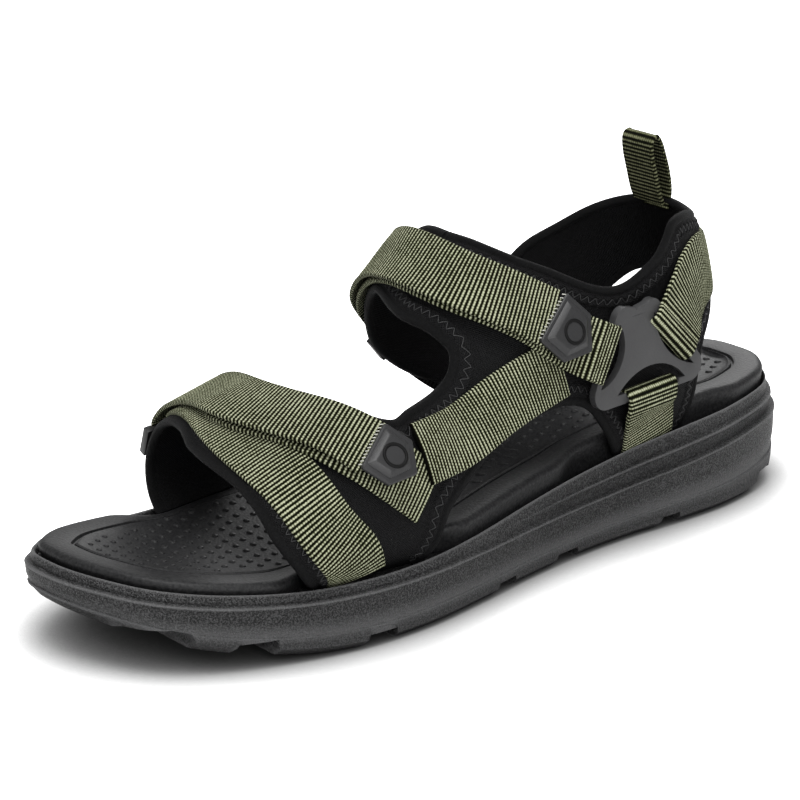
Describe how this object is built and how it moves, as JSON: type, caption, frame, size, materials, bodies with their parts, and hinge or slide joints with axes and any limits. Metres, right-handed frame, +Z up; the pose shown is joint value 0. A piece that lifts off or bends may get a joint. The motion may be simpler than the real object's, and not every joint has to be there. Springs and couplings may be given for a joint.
{
  "type": "strappy sport sandal",
  "caption": "Left-foot sport sandal with a lugged outsole, shaped footbed, webbing straps over padded linings, two hook-and-loop closures and a three-way side buckle.",
  "frame": {"origin": "ground plane under the middle of the sole's length, on the tread", "axes": "+X to the outer (buckle) side, +Y to the heel with the toe at -Y, +Z up; the ground is z = 0"},
  "size_m": [0.1064, 0.29, 0.1258],
  "materials": {
    "outsole_rubber": "satin",
    "midsole_foam": "matte",
    "footbed_foam": "matte",
    "lining_fabric": "matte",
    "webbing": "matte",
    "black_webbing": "matte",
    "hook_tape": "matte",
    "loop_tape": "matte",
    "tab_rubber": "satin",
    "ring_plastic": "satin",
    "buckle_plastic": "satin"
  },
  "bodies": {
    "shoe": {"outsole": "outsole_rubber", "midsole": "midsole_foam", "footbed": "footbed_foam", "vamp_lining": "lining_fabric", "side_lining": "lining_fabric", "quarter_lining": "lining_fabric", "instep_lining": "lining_fabric", "heel_collar": "lining_fabric", "medial_lining": "lining_fabric", "vamp_webbing": "webbing", "vamp_base_webbing": "webbing", "side_webbing": "webbing", "instep_webbing": "webbing", "heel_webbing": "webbing", "medial_webbing": "webbing", "anchor_webbing": "webbing", "vamp_loop_tape": "loop_tape", "instep_loop_tape": "loop_tape", "vamp_ring_anchor": "black_webbing", "instep_ring_anchor": "black_webbing"},
    "vamp_ring": {"vamp_ring": "ring_plastic"},
    "vamp_strap": {"vamp_strap": "webbing", "vamp_hook_tape": "hook_tape", "vamp_tab": "tab_rubber"},
    "instep_ring": {"instep_ring": "ring_plastic"},
    "instep_strap": {"instep_strap": "webbing", "instep_hook_tape": "hook_tape", "instep_tab": "tab_rubber"},
    "buckle": {"buckle": "buckle_plastic"},
    "pull_loop": {"pull_loop": "webbing"}
  },
  "joints": [
    {"name": "vamp_ring_pivot", "type": "hinge", "parent": "shoe", "child": "vamp_ring", "pos_m": [-0.04757, -0.06923, 0.0431], "axis": [-0.0185, -0.9946, -0.1021], "range_deg": [0, 20]},
    {"name": "vamp_strap_swing", "type": "hinge", "parent": "vamp_ring", "child": "vamp_strap", "pos_m": [-0.04414, -0.07003, 0.05029], "axis": [-0.0185, -0.9946, -0.1021], "range_deg": [0, 110]},
    {"name": "instep_ring_pivot", "type": "hinge", "parent": "shoe", "child": "instep_ring", "pos_m": [-0.03978, 0.02139, 0.06358], "axis": [-0.1436, -0.7484, -0.6475], "range_deg": [0, 20]},
    {"name": "instep_strap_swing", "type": "hinge", "parent": "instep_ring", "child": "instep_strap", "pos_m": [-0.03841, 0.01609, 0.06941], "axis": [-0.1436, -0.7484, -0.6475], "range_deg": [0, 110]},
    {"name": "buckle_rock", "type": "hinge", "parent": "shoe", "child": "buckle", "pos_m": [0.03893, 0.06089, 0.0526], "axis": [-0.0785, 0.9969, 0], "range_deg": [-1.5, 0.8]},
    {"name": "pull_loop_fold", "type": "hinge", "parent": "shoe", "child": "pull_loop", "pos_m": [-0.003, 0.102, 0.1022], "axis": [1, 0, 0], "range_deg": [-20, 45]}
  ]
}
